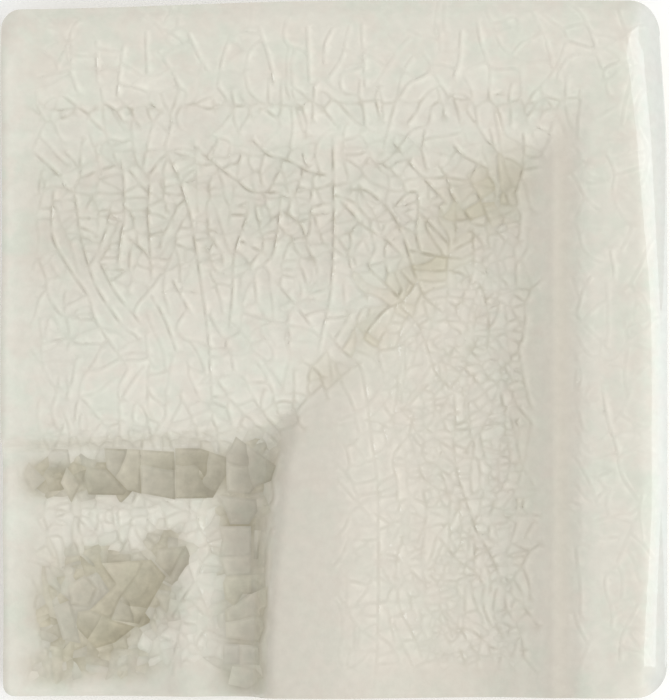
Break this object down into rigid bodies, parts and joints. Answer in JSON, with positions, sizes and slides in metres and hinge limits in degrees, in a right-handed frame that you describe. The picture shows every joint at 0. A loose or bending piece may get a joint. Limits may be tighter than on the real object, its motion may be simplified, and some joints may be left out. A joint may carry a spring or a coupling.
{
  "type": "chair rail corner tile",
  "caption": "Mitred corner tile of a moulded ceramic chair rail in pale crackle glaze, with a flat back for bonding.",
  "frame": {"origin": "centre of the footprint on the flat back", "axes": "+Z out of the glazed face, +Y towards the outer top edge, +X towards the outer right edge"},
  "size_m": [0.0636, 0.0666, 0.0155],
  "materials": {
    "crackle_glaze": "glossy off-white crackle glaze, pooled olive grey in the hollows"
  },
  "bodies": {
    "root": {"corner_tile": "crackle_glaze"}
  },
  "joints": []
}
